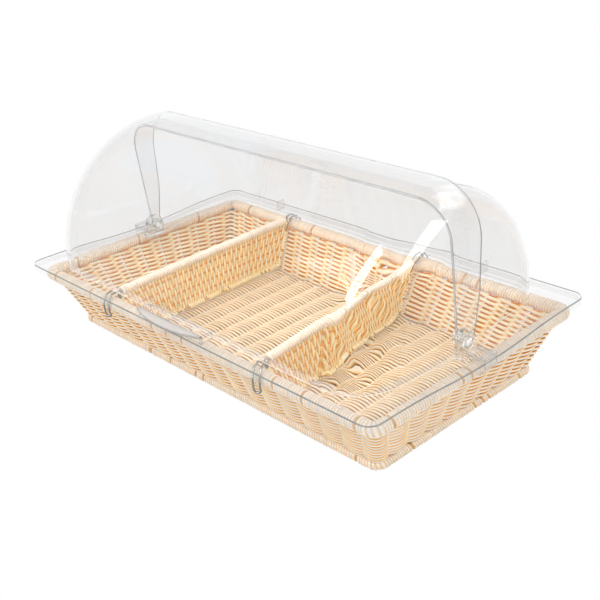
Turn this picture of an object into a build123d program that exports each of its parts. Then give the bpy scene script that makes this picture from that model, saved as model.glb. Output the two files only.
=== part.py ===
"""Countertop bread display bin: woven basket, two hook-over dividers and a clear roll-top cover.

Millimetres, +Z up. X runs along the length and the finger pull of the cover faces -Y. The pieces are drawn
about the middle of the basket, then moved so that the origin is the middle of the whole object's plan box
on the counter, half the finger pull's overhang behind the basket's middle.
"""
from build123d import *
import math
import os

# ---- basket ----
RIM_LENGTH = 530.0          # outer length over the bound rim
RIM_DEPTH = 300.0           # outer depth over the bound rim
RIM_AXIS_Z = 66.5           # height of the rim wire's centre line
RIM_BINDING_D = 15.0        # diameter of the bound rim
RIM_CORNER_R = 8.0          # corner radius of the rim wire's centre line
SIDE_FLARE = 25.0           # how far each short side of the base ring stands in from the rim
FRONT_FLARE = 29.75         # how far its front and back stand in from the rim
BASE_BINDING_D = 10.0       # diameter of the bound base ring
BASE_CORNER_R = 8.0         # corner radius of the base wire's centre line
BASE_FLAT = 0.4             # how far the base binding is pressed flat underneath
RING_WIRE_D = 4.0           # rim, base and corner post wire
WALL_T = 7.5                # woven wall, through the strands
WALL_INSET = 3.0            # wall centre plane inside the ring wires
WALL_CORNER_R = 8.5         # corner radius of the wall's centre surface
FLOOR_T = 10.0              # woven floor, through the strands
STAKE_D = 3.0               # reed ribs that the strands are woven round
STAKE_PITCH = 26.0          # between the ribs of the long walls and of the floor

# ---- dividers ----
LEFT_DIVIDER_X = -133.0     # where the left divider stands
LEFT_DIVIDER_SKEW = 1.8     # degrees it stands off square, about +Z
RIGHT_DIVIDER_X = 92.0      # where the right divider stands
RIGHT_DIVIDER_SKEW = 8.0    # degrees it stands off square, about +Z
DIVIDER_T = 7.5             # woven panel, through the strands
DIVIDER_WIRE_D = 4.0        # frame wire in the panel's edge
DIVIDER_CORNER_R = 4.0      # bend of the frame wire's centre line
DIVIDER_END_GAP = 2.2       # panel edge to the sloping walls
RAIL_AXIS_Z = 75.5          # height of the rail's centre line
RAIL_BINDING_D = 10.0       # diameter of the bound rail
RAIL_END_GAP = 1.5          # frame wire's top corner to the rim
RAIL_BARE_END = 0.6         # straight wire left bare between the rail's binding and each bend
PANEL_TOP_DROP = 7.0        # panel's end corners below the rail's centre line
PANEL_STAKE_COUNT = 4
HOOK_WIRE_D = 2.0
HOOK_SPREAD = 6.8           # between the two legs of a hook
HOOK_RISE = 4.7             # rim top to the centre line of the hook's top
HOOK_SHOULDER = 7.0         # the hook's top reaches this far in from the rim's centre line
HOOK_CREST = 3.0            # and this far out from it
HOOK_SIDE_GAP = 0.6         # rim to the hook's outer leg
HOOK_LEG_RISE = 4.0         # outer leg's start above the rim's centre line
HOOK_BEND_R = 3.2
HOOK_LEG_Z = 61.0           # where the outer leg turns in under the rim
HOOK_TOE_Z = 54.0           # lowest point of the hook's centre line
HOOK_TOE_IN = 2.0           # toe closer to the wall than the outer leg
HOOK_GRIP_DROP = 2.0        # inner leg's end below the rail's centre line
HOOK_GRIP_BACK = 1.0        # inner leg behind the rail wire's corner
LEFT_HOOK_SWING = 11.0      # degrees a front hook is turned in its grip, about +Z
RIGHT_HOOK_SWING = 19.0

# ---- cover ----
SHEET_T = 2.5               # clear sheet, everywhere
FRAME_SIDE_ROOM = 2.0       # rim to the turned-down lip, at each end
FRAME_FRONT_ROOM = 7.5      # rim to the lip, at the front and the back
FRAME_CORNER_R = 14.0
FRAME_LIP = 8.0             # height of the turned-down lip, with the flange
SIDE_FLANGE_WIDTH = 38.0    # flange round the window
FRONT_FLANGE_WIDTH = 29.0
OPENING_CORNER_R = 24.0
SKIRT_HALF_WIDTH = 15.0     # deeper lip at each pivot
SKIRT_FOOT_Z = 67.0
HUMP_HALF_WIDTH = 9.0       # raised channel across the flange at each pivot
HUMP_RISE = 5.5
HUMP_LENGTH = 21.5
HUMP_TAIL = 11.0            # the channel's outer end, down over the lip
HUMP_TAIL_T = 1.5
PIVOT_Z = 88.0
SHELL_SIDE_INSET = 25.5     # front shell's end walls in from the frame's edge
SHELL_FRONT_INSET = 16.5    # its foot in from the frame's front edge
SHELL_CORNER_R = 48.0
SHELL_BACK_REACH = 17.5     # front shell's rear edge behind the pivots
SHELL_LUG_GAP = 0.45        # flange to the rounding of its end walls under the pivots
REAR_SHELL_SIDE_INSET = 8.75    # rear shell's end walls in from the front shell's
REAR_SHELL_INSET = 8.5      # its arc in from the front shell's
REAR_SHELL_CORNER_R = 36.0
REAR_SHELL_REACH = 5.5      # rear shell's front edge ahead of the pivots
REAR_SHELL_TILT = 5.5       # degrees its front edge leans forward
OPEN_ANGLE = 80.0           # front shell rolled back onto the stops
STOP_X = 157.0              # the two stops on the rear flange
STOP_T = 3.0
STOP_DEPTH = 12.0
PULL_LENGTH = 102.0         # finger pull on the front shell
PULL_TOP_Z = 92.0
PULL_LIP = 10.0             # how far its curved lip stands out
EAR_T = 3.5                 # pivot bracket
EAR_HALF_WIDTH = 11.0
EAR_FOOT_T = 2.2
EAR_FOOT_REACH = 12.4
EAR_OFF_SHELL = 1.2         # rear shell's end wall to the ear
PIN_D = 6.0
PIN_CAP_D = 16.0
PIN_CAP_T = 3.4
PIN_RING_D = 10.0           # raised ring on the cap
NUT_D = 14.0
NUT_T = 3.6
WASHER_D = 12.0

# ---- fits ----
FIT = 0.1                   # round soft pieces in or against each other
RUNNING_FIT = 0.05          # radial, pins in their holes
SEAT_GAP = 0.3              # pieces of different bodies that rest on each other
FACE_GAP = 0.15             # stacked faces on the pivots

# ---- worked out from the above ----
rim_x = (RIM_LENGTH - RIM_BINDING_D) / 2
rim_y = (RIM_DEPTH - RIM_BINDING_D) / 2
rim_top = RIM_AXIS_Z + RIM_BINDING_D / 2
base_z = BASE_BINDING_D / 2 - BASE_FLAT
base_x = (RIM_LENGTH - BASE_BINDING_D) / 2 - SIDE_FLARE
base_y = (RIM_DEPTH - BASE_BINDING_D) / 2 - FRONT_FLARE
wall_rise = RIM_AXIS_Z - base_z
wall_foot_z = BASE_BINDING_D * 0.8
wall_head_z = RIM_AXIS_Z - RIM_BINDING_D * 0.22
floor_z = base_z + BASE_BINDING_D / 2 + FIT + STAKE_D / 2
floor_top = floor_z + FLOOR_T / 2
hook_top = rim_top + HOOK_RISE + HOOK_WIRE_D / 2
flange_z = hook_top + SEAT_GAP
side_flange_z = rim_top + SEAT_GAP
flange_top = flange_z + SHEET_T
side_flange_top = side_flange_z + SHEET_T
flange_sag = flange_z - side_flange_z
frame_x = RIM_LENGTH / 2 + FRAME_SIDE_ROOM + SHEET_T
frame_y = RIM_DEPTH / 2 + FRAME_FRONT_ROOM + SHEET_T
opening_y = frame_y - FRONT_FLANGE_WIDTH
shell_x = frame_x - SHELL_SIDE_INSET
shell_r = frame_y - SHELL_FRONT_INSET
rear_shell_x = shell_x - REAR_SHELL_SIDE_INSET
rear_shell_r = shell_r - REAR_SHELL_INSET
ear_x = rear_shell_x + EAR_OFF_SHELL
FAR = 1000.0                # longer than anything here, for cutting tools


def wall_x(z):
    """Centre plane of the left and right walls at height z."""
    return base_x - WALL_INSET + (rim_x - base_x) * (z - base_z) / wall_rise


def wall_y(z):
    """Centre plane of the front and back walls at height z."""
    return base_y - WALL_INSET + (rim_y - base_y) * (z - base_z) / wall_rise


side_half_t = WALL_T / 2 * math.hypot(1, (rim_x - base_x) / wall_rise)
front_half_t = WALL_T / 2 * math.hypot(1, (rim_y - base_y) / wall_rise)


def ring(half_x, half_y, corner_r, z, tube_d):
    """Round bar bent to a rectangle with rounded corners."""
    path = Pos(0, 0, z) * RectangleRounded(2 * half_x, 2 * half_y, corner_r).wire()
    section = Plane(origin=path @ 0, z_dir=path % 0) * Circle(tube_d / 2)
    return sweep(section, path=path)


def rim_ring(tube_d):
    return ring(rim_x, rim_y, RIM_CORNER_R, RIM_AXIS_Z, tube_d)


def base_ring(tube_d):
    return ring(base_x, base_y, BASE_CORNER_R, base_z, tube_d)


def rod(start, end, rod_d):
    """Straight round bar from start to end."""
    start, end = Vector(*start), Vector(*end)
    bar = Cylinder(rod_d / 2, (end - start).length, align=(Align.CENTER, Align.CENTER, Align.MIN))
    return Plane(origin=start, z_dir=end - start) * bar


def slab(low, high):
    """Block between two corners."""
    size = [b - a for a, b in zip(low, high)]
    middle = [(a + b) / 2 for a, b in zip(low, high)]
    return Pos(*middle) * Box(*size)


def mirrored(shape):
    """The same piece on the other end of the object."""
    return mirror(shape, about=Plane.YZ)


# ---- basket ----
def corner_inset(radius):
    """From a sharp corner to the middle of its rounding, along one axis."""
    return radius * (1 - math.sqrt(0.5))


post_lean = math.atan(math.hypot(rim_x - base_x, rim_y - base_y) / wall_rise)
post_step = (RING_WIRE_D + FIT) / math.cos(post_lean) * math.sqrt(0.5)


def corner_rods(rod_d):
    """Four posts welded inside the ring wires' corners."""
    foot_in = corner_inset(BASE_CORNER_R) + post_step
    head_in = corner_inset(RIM_CORNER_R) + post_step
    return [
        rod((sx * (base_x - foot_in), sy * (base_y - foot_in), base_z),
            (sx * (rim_x - head_in), sy * (rim_y - head_in), RIM_AXIS_Z), rod_d)
        for sx in (-1, 1) for sy in (-1, 1)
    ]


def wall_body(offset):
    """Tapered tub whose surface lies offset times half a wall outside the centre surface."""
    outlines = []
    for z in (wall_foot_z, wall_head_z):
        half_x = wall_x(z) + offset * side_half_t
        half_y = wall_y(z) + offset * front_half_t
        corner_r = WALL_CORNER_R + offset * WALL_T / 2
        outlines.append(Pos(0, 0, z) * RectangleRounded(2 * half_x, 2 * half_y, corner_r))
    return loft(outlines)


def wall_sector(side):
    """Plan sector of one wall, mitred at the corners."""
    inner = (wall_x(-wall_rise), wall_y(-wall_rise))
    outer = (wall_x(2 * wall_rise), wall_y(2 * wall_rise))
    if side in ("front", "back"):
        sy = -1 if side == "front" else 1
        points = [(-outer[0], sy * outer[1]), (outer[0], sy * outer[1]),
                  (inner[0], sy * inner[1]), (-inner[0], sy * inner[1])]
    else:
        sx = -1 if side == "left" else 1
        points = [(sx * outer[0], -outer[1]), (sx * outer[0], outer[1]),
                  (sx * inner[0], inner[1]), (sx * inner[0], -inner[1])]
    return extrude(make_face(Polyline(*points, close=True)), RIM_AXIS_Z)


def wall_stakes(side, rod_d):
    """Upright ribs of one wall, fanned out with the taper."""
    long_side = side in ("front", "back")
    span_at = wall_x if long_side else wall_y
    place_at = wall_y if long_side else wall_x
    sign = -1 if side in ("front", "left") else 1
    count = round(2 * span_at(wall_foot_z) / STAKE_PITCH) - 1
    rods = []
    for i in range(count):
        share = (2 * (i + 1) / (count + 1)) - 1
        ends = []
        for z in (wall_foot_z, wall_head_z):
            along, across = share * span_at(z), sign * place_at(z)
            ends.append((along, across, z) if long_side else (across, along, z))
        rods.append(rod(*ends, rod_d))
    return rods


def floor_rods(rod_d):
    """Ribs of the floor, front to back, resting on the base ring."""
    reach = wall_y(wall_foot_z) - front_half_t - FIT
    count = round(2 * wall_x(wall_foot_z) / STAKE_PITCH) - 1
    z = floor_z
    xs = [(i - (count - 1) / 2) * STAKE_PITCH for i in range(count)]
    return [rod((x, -reach, z), (x, reach, z), rod_d) for x in xs]


def build_basket():
    parts = {}
    posts = corner_rods(RING_WIRE_D)
    post_bores = corner_rods(RING_WIRE_D + 2 * FIT)
    parts["rim_wire"] = rim_ring(RING_WIRE_D)
    parts["rim_binding"] = rim_ring(RIM_BINDING_D) - rim_ring(RING_WIRE_D + 2 * FIT) - post_bores
    parts["base_ring_wire"] = base_ring(RING_WIRE_D)
    foot = slab((-RIM_LENGTH, -RIM_DEPTH, -BASE_BINDING_D), (RIM_LENGTH, RIM_DEPTH, 0))
    base = base_ring(BASE_BINDING_D) - foot
    parts["base_ring_binding"] = base - base_ring(RING_WIRE_D + 2 * FIT) - post_bores
    parts["corner_posts"] = Compound(posts)
    rings = [rim_ring(RIM_BINDING_D + 2 * FIT), base_ring(BASE_BINDING_D + 2 * FIT)]
    tub = wall_body(1) - wall_body(-1) - rings - post_bores
    for side in ("front", "back", "left", "right"):
        bores = wall_stakes(side, STAKE_D + 2 * FIT)
        stakes = [stake - rings for stake in wall_stakes(side, STAKE_D)]
        parts[side + "_wall_weave"] = (tub & wall_sector(side)) - bores
        parts[side + "_wall_stakes"] = Compound(stakes)
    parts["floor_stakes"] = Compound(floor_rods(STAKE_D))
    half_x = wall_x(wall_foot_z) - side_half_t - FIT
    half_y = wall_y(wall_foot_z) - front_half_t - FIT
    corner_r = WALL_CORNER_R - WALL_T / 2
    outline = Pos(0, 0, floor_top - FLOOR_T) * RectangleRounded(2 * half_x, 2 * half_y, corner_r)
    parts["floor_weave"] = extrude(outline, FLOOR_T) - floor_rods(STAKE_D + 2 * FIT) - rings
    return parts


# ---- dividers ----
rail_half = RIM_DEPTH / 2 - RIM_BINDING_D - RAIL_END_GAP
panel_foot_z = floor_top + SEAT_GAP
panel_wire_z = panel_foot_z + DIVIDER_T / 2
foot_half = wall_y(panel_wire_z) - front_half_t - DIVIDER_END_GAP - DIVIDER_T / 2
panel_head_z = RAIL_AXIS_Z - PANEL_TOP_DROP
rail_end_angle = math.atan2(RAIL_AXIS_Z - panel_wire_z, rail_half - foot_half)
rail_bound_half = rail_half - DIVIDER_CORNER_R / math.tan(rail_end_angle / 2) - RAIL_BARE_END


def end_wire_y(z):
    """Centre line of the divider's sloping end wire at height z."""
    return foot_half + (rail_half - foot_half) * (z - panel_wire_z) / (RAIL_AXIS_Z - panel_wire_z)


def divider_loop(wire_d):
    """Closed frame wire: rail, two sloping ends and a foot."""
    corners = [(0, -rail_half, RAIL_AXIS_Z), (0, rail_half, RAIL_AXIS_Z),
               (0, foot_half, panel_wire_z), (0, -foot_half, panel_wire_z)]
    path = FilletPolyline(*corners, radius=DIVIDER_CORNER_R, close=True)
    section = Plane(origin=path @ 0, z_dir=path % 0) * Circle(wire_d / 2)
    return sweep(section, path=path)


def rail_tube(tube_d):
    return rod((0, -rail_bound_half, RAIL_AXIS_Z), (0, rail_bound_half, RAIL_AXIS_Z), tube_d)


def panel_rods(rod_d):
    """Level ribs of the panel, between the end wires."""
    step = (RAIL_AXIS_Z - panel_wire_z) / (PANEL_STAKE_COUNT + 1)
    heights = [panel_wire_z + step * (i + 1) for i in range(PANEL_STAKE_COUNT)]
    return [rod((0, -end_wire_y(z), z), (0, end_wire_y(z), z), rod_d) for z in heights]


def panel_slab():
    """Woven panel, wrapped round the end wires and tucked up under the rail."""
    edge = DIVIDER_T / 2
    half = [(rail_bound_half, RAIL_AXIS_Z), (rail_bound_half, panel_head_z),
            (end_wire_y(panel_head_z) + edge, panel_head_z), (end_wire_y(panel_foot_z) + edge, panel_foot_z)]
    points = [(y, z) for y, z in half] + [(-y, z) for y, z in reversed(half)]
    outline = make_face(Polyline(*points, close=True))
    return extrude(Plane.YZ * outline, DIVIDER_T / 2, both=True)


def hook(sign, skew, swing):
    """Double wire hook from the rail's end over the rim, turned by swing degrees about its grip."""
    turn, spread = math.radians(skew + swing), HOOK_SPREAD / 2
    grip_y = rail_half - HOOK_GRIP_BACK
    start = grip_y * math.cos(math.radians(skew)) - spread * math.sin(turn)
    leg_y = RIM_DEPTH / 2 + HOOK_SIDE_GAP + HOOK_WIRE_D / 2
    top_z = rim_top + HOOK_RISE
    over = [(rim_y - HOOK_SHOULDER, top_z), (rim_y + HOOK_CREST, top_z), (leg_y, RIM_AXIS_Z + HOOK_LEG_RISE),
            (leg_y, HOOK_LEG_Z), (leg_y - HOOK_TOE_IN, HOOK_TOE_Z)]
    side = [(grip_y, RAIL_AXIS_Z - HOOK_GRIP_DROP)]
    side += [(grip_y + (y - start) / math.cos(turn), z) for y, z in over]
    points = [(-spread, sign * y, z) for y, z in side] + [(spread, sign * y, z) for y, z in reversed(side)]
    path = FilletPolyline(*points, radius=HOOK_BEND_R - 0.05)
    section = Plane(origin=path @ 0, z_dir=path % 0) * Circle(HOOK_WIRE_D / 2)
    grip = Pos(0, sign * grip_y, 0)
    return grip * Rot(0, 0, swing) * grip.inverse() * sweep(section, path=path)


def build_divider(name, x, skew, swing):
    place = Pos(x, 0, 0) * Rot(0, 0, skew)
    wire_room = DIVIDER_WIRE_D + 2 * FIT
    loop_room = divider_loop(wire_room)
    panel = panel_slab() - rail_tube(RAIL_BINDING_D + 2 * FIT) - loop_room - panel_rods(STAKE_D + 2 * FIT)
    stakes = [bar - loop_room for bar in panel_rods(STAKE_D)]
    pieces = {
        "frame": divider_loop(DIVIDER_WIRE_D),
        "rail_binding": rail_tube(RAIL_BINDING_D) - rail_tube(wire_room),
        "weave": panel,
        "stakes": Compound(stakes),
        "front_hook": hook(-1, skew, swing),
        "rear_hook": hook(1, skew, 0),
    }
    return {f"{name}_{key}": place * shape for key, shape in pieces.items()}


# ---- cover ----
def flange_line(drop):
    """Edges along the flange's underside at drop below it, from front to back, sagging at the pivots."""
    front, back = -2 * frame_y, 2 * frame_y
    level, low, middle = flange_z - drop, side_flange_z - drop, (flange_z + side_flange_z) / 2 - drop
    half = opening_y
    first = TangentArc((-half, level), (-half / 2, middle), tangent=(1, 0))
    second = TangentArc((0, low), (-half / 2, middle), tangent=(-1, 0))
    third = TangentArc((0, low), (half / 2, middle), tangent=(1, 0))
    fourth = TangentArc((half, level), (half / 2, middle), tangent=(-1, 0))
    return [Line((front, level), (-half, level)), first, second, third, fourth,
            Line((half, level), (back, level))]


def flange_band(low_drop, high_drop, half_x=2 * frame_x):
    """Everything between two levels measured down from the flange's underside."""
    upper, lower = flange_line(high_drop), flange_line(low_drop)
    ends = [Line(lower[0] @ 0, upper[0] @ 0), Line(lower[-1] @ 1, upper[-1] @ 1)]
    outline = make_face(Wire([e for line in upper + lower + ends for e in line.edges()]))
    return extrude(Plane.YZ * outline, half_x, both=True)


def plan_block(length, depth, corner_r):
    return extrude(RectangleRounded(length, depth, corner_r), FAR / 2)


def stop_top():
    """Height at which the rolled-back front shell's edge meets the stops."""
    inner_r = shell_r - SHEET_T
    edge_up = math.sqrt(inner_r ** 2 - SHELL_BACK_REACH ** 2)
    angle = math.radians(OPEN_ANGLE)
    return PIVOT_Z + edge_up * math.cos(angle) - SHELL_BACK_REACH * math.sin(angle) - SEAT_GAP


def pivot_channel():
    """Raised channel, its tail over the lip and the deeper lip, at the right-hand pivot."""
    top = side_flange_top + HUMP_RISE
    start, out = frame_x - HUMP_LENGTH, frame_x
    wide, deep = HUMP_HALF_WIDTH, SKIRT_HALF_WIDTH
    hump = slab((start, -wide, side_flange_z), (out, wide, top))
    tail = slab((out, -wide, top - HUMP_TAIL), (out + HUMP_TAIL_T, wide, top))
    skirt = slab((out - SHEET_T, -deep, SKIRT_FOOT_Z), (out, deep, side_flange_top))
    inner = wide - SHEET_T
    hollow = slab((start + SHEET_T, -inner, SKIRT_FOOT_Z), (out - SHEET_T, inner, top - SHEET_T))
    return hump + tail + skirt, hollow


def build_cover_frame():
    outer = plan_block(2 * frame_x, 2 * frame_y, FRAME_CORNER_R)
    inner_r = FRAME_CORNER_R - SHEET_T
    within_lip = plan_block(2 * (frame_x - SHEET_T), 2 * (frame_y - SHEET_T), inner_r)
    window = plan_block(2 * (frame_x - SIDE_FLANGE_WIDTH), 2 * opening_y, OPENING_CORNER_R)
    flange = flange_band(0, -SHEET_T) & (outer - window)
    lip = flange_band(FRAME_LIP - SHEET_T, 0) & (outer - within_lip)
    channel, hollow = pivot_channel()
    frame = flange + lip + channel + mirrored(channel) - hollow - mirrored(hollow)
    stop_y = rear_shell_r + FACE_GAP
    for sx in (-1, 1):
        low = (sx * STOP_X - STOP_T / 2, stop_y, flange_top)
        high = (sx * STOP_X + STOP_T / 2, stop_y + STOP_DEPTH, stop_top())
        frame += slab(low, high)
    slot = slab((ear_x - FIT, -EAR_HALF_WIDTH - FIT, 0), (ear_x + EAR_T + FIT, EAR_HALF_WIDTH + FIT, FAR / 2))
    return frame - slot - mirrored(slot)


def dome(length, radius, corner_r):
    """Solid half-round dome over the pivot line, carried straight down to the flange."""
    outline = RectangleRounded(length, 2 * radius, corner_r)
    half = outline & Pos(0, radius) * Rectangle(length, 2 * radius)
    round_top = revolve(Pos(0, 0, PIVOT_Z) * half, Axis((0, 0, PIVOT_Z), (1, 0, 0)), 180)
    return round_top + extrude(outline, PIVOT_Z)


def dome_shell(length, radius, corner_r):
    """Clear sheet dome, cut off just above the flange."""
    skin = dome(length, radius, corner_r) - dome(length - 2 * SHEET_T, radius - SHEET_T, corner_r - SHEET_T)
    return skin - below_flange()


def rolled_back(shape):
    """The shape as the front shell meets it once rolled open, drawn in the closed position."""
    return Pos(0, 0, PIVOT_Z) * Rot(OPEN_ANGLE, 0, 0) * Pos(0, 0, -PIVOT_Z) * shape


def below_flange():
    """All that the shells keep clear of: the flange and everything under it."""
    return flange_band(FAR / 2, -SHEET_T - SEAT_GAP)


def pin_bore():
    bore = Cylinder(PIN_D / 2 + RUNNING_FIT, FAR, rotation=(0, 90, 0))
    return Pos(0, 0, PIVOT_Z) * bore


def build_rear_shell():
    shell = dome_shell(2 * rear_shell_x, rear_shell_r, REAR_SHELL_CORNER_R)
    tilt = math.tan(math.radians(REAR_SHELL_TILT))
    ahead = [(-REAR_SHELL_REACH, 0), (-REAR_SHELL_REACH, PIVOT_Z),
             (-REAR_SHELL_REACH - tilt * FAR, PIVOT_Z + FAR), (-FAR, PIVOT_Z + FAR), (-FAR, 0)]
    cut = extrude(Plane.YZ * make_face(Polyline(*ahead, close=True)), FAR, both=True)
    return shell - cut - pin_bore()


def finger_pull():
    """Hollow box on the foot of the front shell with a curved lip along its top."""
    half = PULL_LENGTH / 2
    wall, out = -(shell_r - SHEET_T / 2), -frame_y
    foot = flange_top + SEAT_GAP
    box = slab((-half, out, foot), (half, wall, PULL_TOP_Z))
    hollow = slab((-half + SHEET_T, out + SHEET_T, 0), (half - SHEET_T, wall, PULL_TOP_Z - SHEET_T))
    chord = Line((-half, out), (half, out))
    arc = ThreePointArc((half, out), (0, out - PULL_LIP), (-half, out))
    lip = extrude(Pos(0, 0, PULL_TOP_Z) * make_face(Wire([chord.edge(), arc.edge()])), -SHEET_T)
    return box - hollow + lip


def build_front_shell():
    shell = dome_shell(2 * shell_x, shell_r, SHELL_CORNER_R)
    behind = slab((-FAR, SHELL_BACK_REACH, -FAR), (FAR, FAR, FAR))
    under = slab((-FAR, 0, 0), (FAR, FAR, PIVOT_Z))
    lug = Pos(0, 0, PIVOT_Z) * Cylinder(PIVOT_Z - side_flange_top - SHELL_LUG_GAP, FAR, rotation=(0, 90, 0))
    inside = dome(2 * (shell_x - SHEET_T), shell_r - SHEET_T, SHELL_CORNER_R - SHEET_T)
    shell = shell - behind - rolled_back(below_flange()) - (under - lug)
    return shell + (finger_pull() - inside) - pin_bore()


def disc(x0, x1, disc_d):
    """Round disc on the pivot line between two x."""
    return rod((x0, 0, PIVOT_Z), (x1, 0, PIVOT_Z), disc_d)


def build_pivot():
    """Right-hand pivot: bracket, headed pin, nut and washers."""
    foot_top = side_flange_z - FIT
    ear = slab((ear_x, -EAR_HALF_WIDTH, foot_top - EAR_FOOT_T), (ear_x + EAR_T, EAR_HALF_WIDTH, PIVOT_Z))
    ear += disc(ear_x, ear_x + EAR_T, 2 * EAR_HALF_WIDTH)
    ear += slab((ear_x, -EAR_HALF_WIDTH, foot_top - EAR_FOOT_T),
                (ear_x + EAR_FOOT_REACH, EAR_HALF_WIDTH, foot_top))
    nut_x = rear_shell_x - SHEET_T - FACE_GAP
    cap_x = shell_x + FACE_GAP
    pin = disc(nut_x - NUT_T, cap_x, PIN_D) + disc(cap_x, cap_x + PIN_CAP_T * 0.7, PIN_CAP_D)
    pin += disc(cap_x, cap_x + PIN_CAP_T, PIN_RING_D)
    bore = pin_bore()
    inner = disc(rear_shell_x + FACE_GAP, ear_x - FACE_GAP, WASHER_D) - bore
    outer = disc(ear_x + EAR_T + FACE_GAP, shell_x - SHEET_T - FACE_GAP, WASHER_D) - bore
    return {
        "pivot_bracket": ear - bore,
        "pivot_pin": pin,
        "pivot_nut": disc(nut_x - NUT_T, nut_x, NUT_D) - bore,
        "pivot_washers": Compound([inner, outer]),
    }


def build_cover():
    parts = {
        "cover_frame": build_cover_frame(),
        "rear_shell": build_rear_shell(),
        "front_shell": build_front_shell(),
    }
    for name, shape in build_pivot().items():
        parts["right_" + name] = shape
        parts["left_" + name] = mirrored(shape)
    return parts


parts = build_basket()
parts.update(build_divider("left_divider", LEFT_DIVIDER_X, LEFT_DIVIDER_SKEW, LEFT_HOOK_SWING))
parts.update(build_divider("right_divider", RIGHT_DIVIDER_X, RIGHT_DIVIDER_SKEW, RIGHT_HOOK_SWING))
parts.update(build_cover())

to_plan_middle = Pos(0, PULL_LIP / 2, 0)
os.makedirs("parts", exist_ok=True)
for node, shape in parts.items():
    export_step(to_plan_middle * shape, f"parts/{node}.step")
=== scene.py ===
"""Countertop bread display bin: woven basket, two hook-over dividers and a clear roll-top cover.

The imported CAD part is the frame. The reed work is rebuilt here strand by strand and the clear
sheets as smooth skins, inside the CAD pieces' own boxes; every other piece keeps its CAD shape
and gets a material. Metres, +Z up, X along the length, the finger pull faces -Y.
"""
import math

import bmesh
import bpy
import numpy as np
from mathutils import Matrix, Vector


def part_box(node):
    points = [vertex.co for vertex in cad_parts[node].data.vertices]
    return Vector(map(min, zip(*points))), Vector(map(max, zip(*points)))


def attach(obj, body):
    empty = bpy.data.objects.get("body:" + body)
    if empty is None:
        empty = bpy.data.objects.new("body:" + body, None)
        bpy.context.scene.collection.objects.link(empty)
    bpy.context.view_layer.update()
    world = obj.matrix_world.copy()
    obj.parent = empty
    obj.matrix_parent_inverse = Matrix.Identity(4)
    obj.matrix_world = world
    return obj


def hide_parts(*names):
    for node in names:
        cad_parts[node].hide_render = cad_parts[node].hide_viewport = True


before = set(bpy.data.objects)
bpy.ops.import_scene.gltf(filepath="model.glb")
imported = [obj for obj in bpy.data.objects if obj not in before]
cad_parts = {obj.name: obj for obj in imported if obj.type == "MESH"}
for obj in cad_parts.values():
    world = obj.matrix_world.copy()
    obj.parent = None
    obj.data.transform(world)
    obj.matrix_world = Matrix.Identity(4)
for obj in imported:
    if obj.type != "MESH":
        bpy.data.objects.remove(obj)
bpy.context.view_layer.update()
MM = 0.001

# ---- reed work ----
REED_D = 2.8 * MM           # reed of the walls, in the wall's thickness
REED_WIDTH = 1.34           # and its height over that
FLOOR_REED_D = 3.1 * MM
DIVIDER_REED_D = 3.1 * MM
RIB_D = 3.0 * MM            # ribs that the reeds pass
WRAP_PITCH = 3.2 * MM       # one turn of the bindings
WRAP_GROOVE = 1.0 * MM      # depth between two turns
WRAP_STEPS = 7              # points along one turn
ROW_PITCH = 4.7 * MM        # one twined row of a wall, in height
FLOOR_ROW_PITCH = 4.7 * MM
ROW_WANDER = 0.22 * MM      # how far a wall's reed strays from its row
FLOOR_WANDER = 0.2 * MM
WALL_STEPS = 14             # points of a wall's reed from rib to rib
FLOOR_STEP = 1.9 * MM       # length between two points of a floor reed
FLOOR_MARGIN = 2 * MM       # floor reeds' ends inside the CAD panel
WALL_CORNER_R = 8.5 * MM    # corner of the wall's middle surface
RING_CORNER_R = 8.0 * MM    # corner of the rings' centre lines
BASE_RADIUS = 5.0 * MM      # base ring with its binding
WALL_INSET = 3.0 * MM       # wall's middle surface inside the ring wires
LONG_STAKES = 17            # ribs of each long wall and of the floor
SHORT_STAKES = 8            # ribs of each short wall
WALL_ROWS = 11
STRAND_PITCH = 3.6 * MM     # spacing of a divider's upright reeds
STRAND_SWING = 0.32         # their swing over the room that the panel leaves
STRAND_JITTER = 0.15 * MM
STRAND_POINTS = 44
DIVIDER_RIBS = 4            # level ribs of a divider's panel
RIM_GAPS, BASE_GAPS = 20, 26            # turns that sink to the wire, round each ring
PANEL_SIDE_GAPS, PANEL_FOOT_GAPS = 4, 18
RING_GAP_SINK, BAR_GAP_SINK = 0.22, 0.4     # how far they sink, over the radius

# ---- clear cover, from the basket's middle ----
SHEET_T = 2.5 * MM
EDGE_ROUND = 0.6 * MM       # how far a sheet's rounded edge stands out from its skins
BEVEL = 0.3 * MM            # softened edges of the frame's fittings and the pull
FRAME_HALF = (269.5 * MM, 160.0 * MM)
FRAME_R = 14.0 * MM
FRAME_LIP = 8.0 * MM        # height of the turned-down lip with the sheet
FLANGE_WIDTH = (38.0 * MM, 29.0 * MM)
WINDOW_R = 24.0 * MM
FOOT_GAP = 0.3 * MM         # shells' feet above the flange
FLANGE_Z = 80.0 * MM        # flange's underside at the front and the back
SIDE_FLANGE_Z = 74.3 * MM   # and at the pivots
OPENING_HALF_Y = 131.0 * MM
PIVOT_Z = 88.0 * MM
SHELL_HALF_X = 244.0 * MM
SHELL_R = 143.5 * MM
SHELL_CORNER = 48.0 * MM
SHELL_BACK = 17.5 * MM      # front shell's rear edge behind the pivots
SHELL_ROLL = 80             # degrees it opens, which is what cuts its edge above the pivots
LUG_R = 10.75 * MM          # rounding of its end walls under the pivots
REAR_HALF_X = 235.25 * MM
REAR_R = 135.0 * MM
REAR_CORNER = 36.0 * MM
REAR_REACH = 5.5 * MM       # rear shell's front edge ahead of the pivots
REAR_TILT = 5.5             # and how far it leans back, in degrees
PULL_HALF = 51.0 * MM
PULL_TOP_Z = 92.0 * MM
PULL_LIP = 10.0 * MM        # how far its lip bows out
STOP_X = 157.0 * MM
STOP_Y = 135.15 * MM
STOP_DEPTH = 12 * MM
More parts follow.
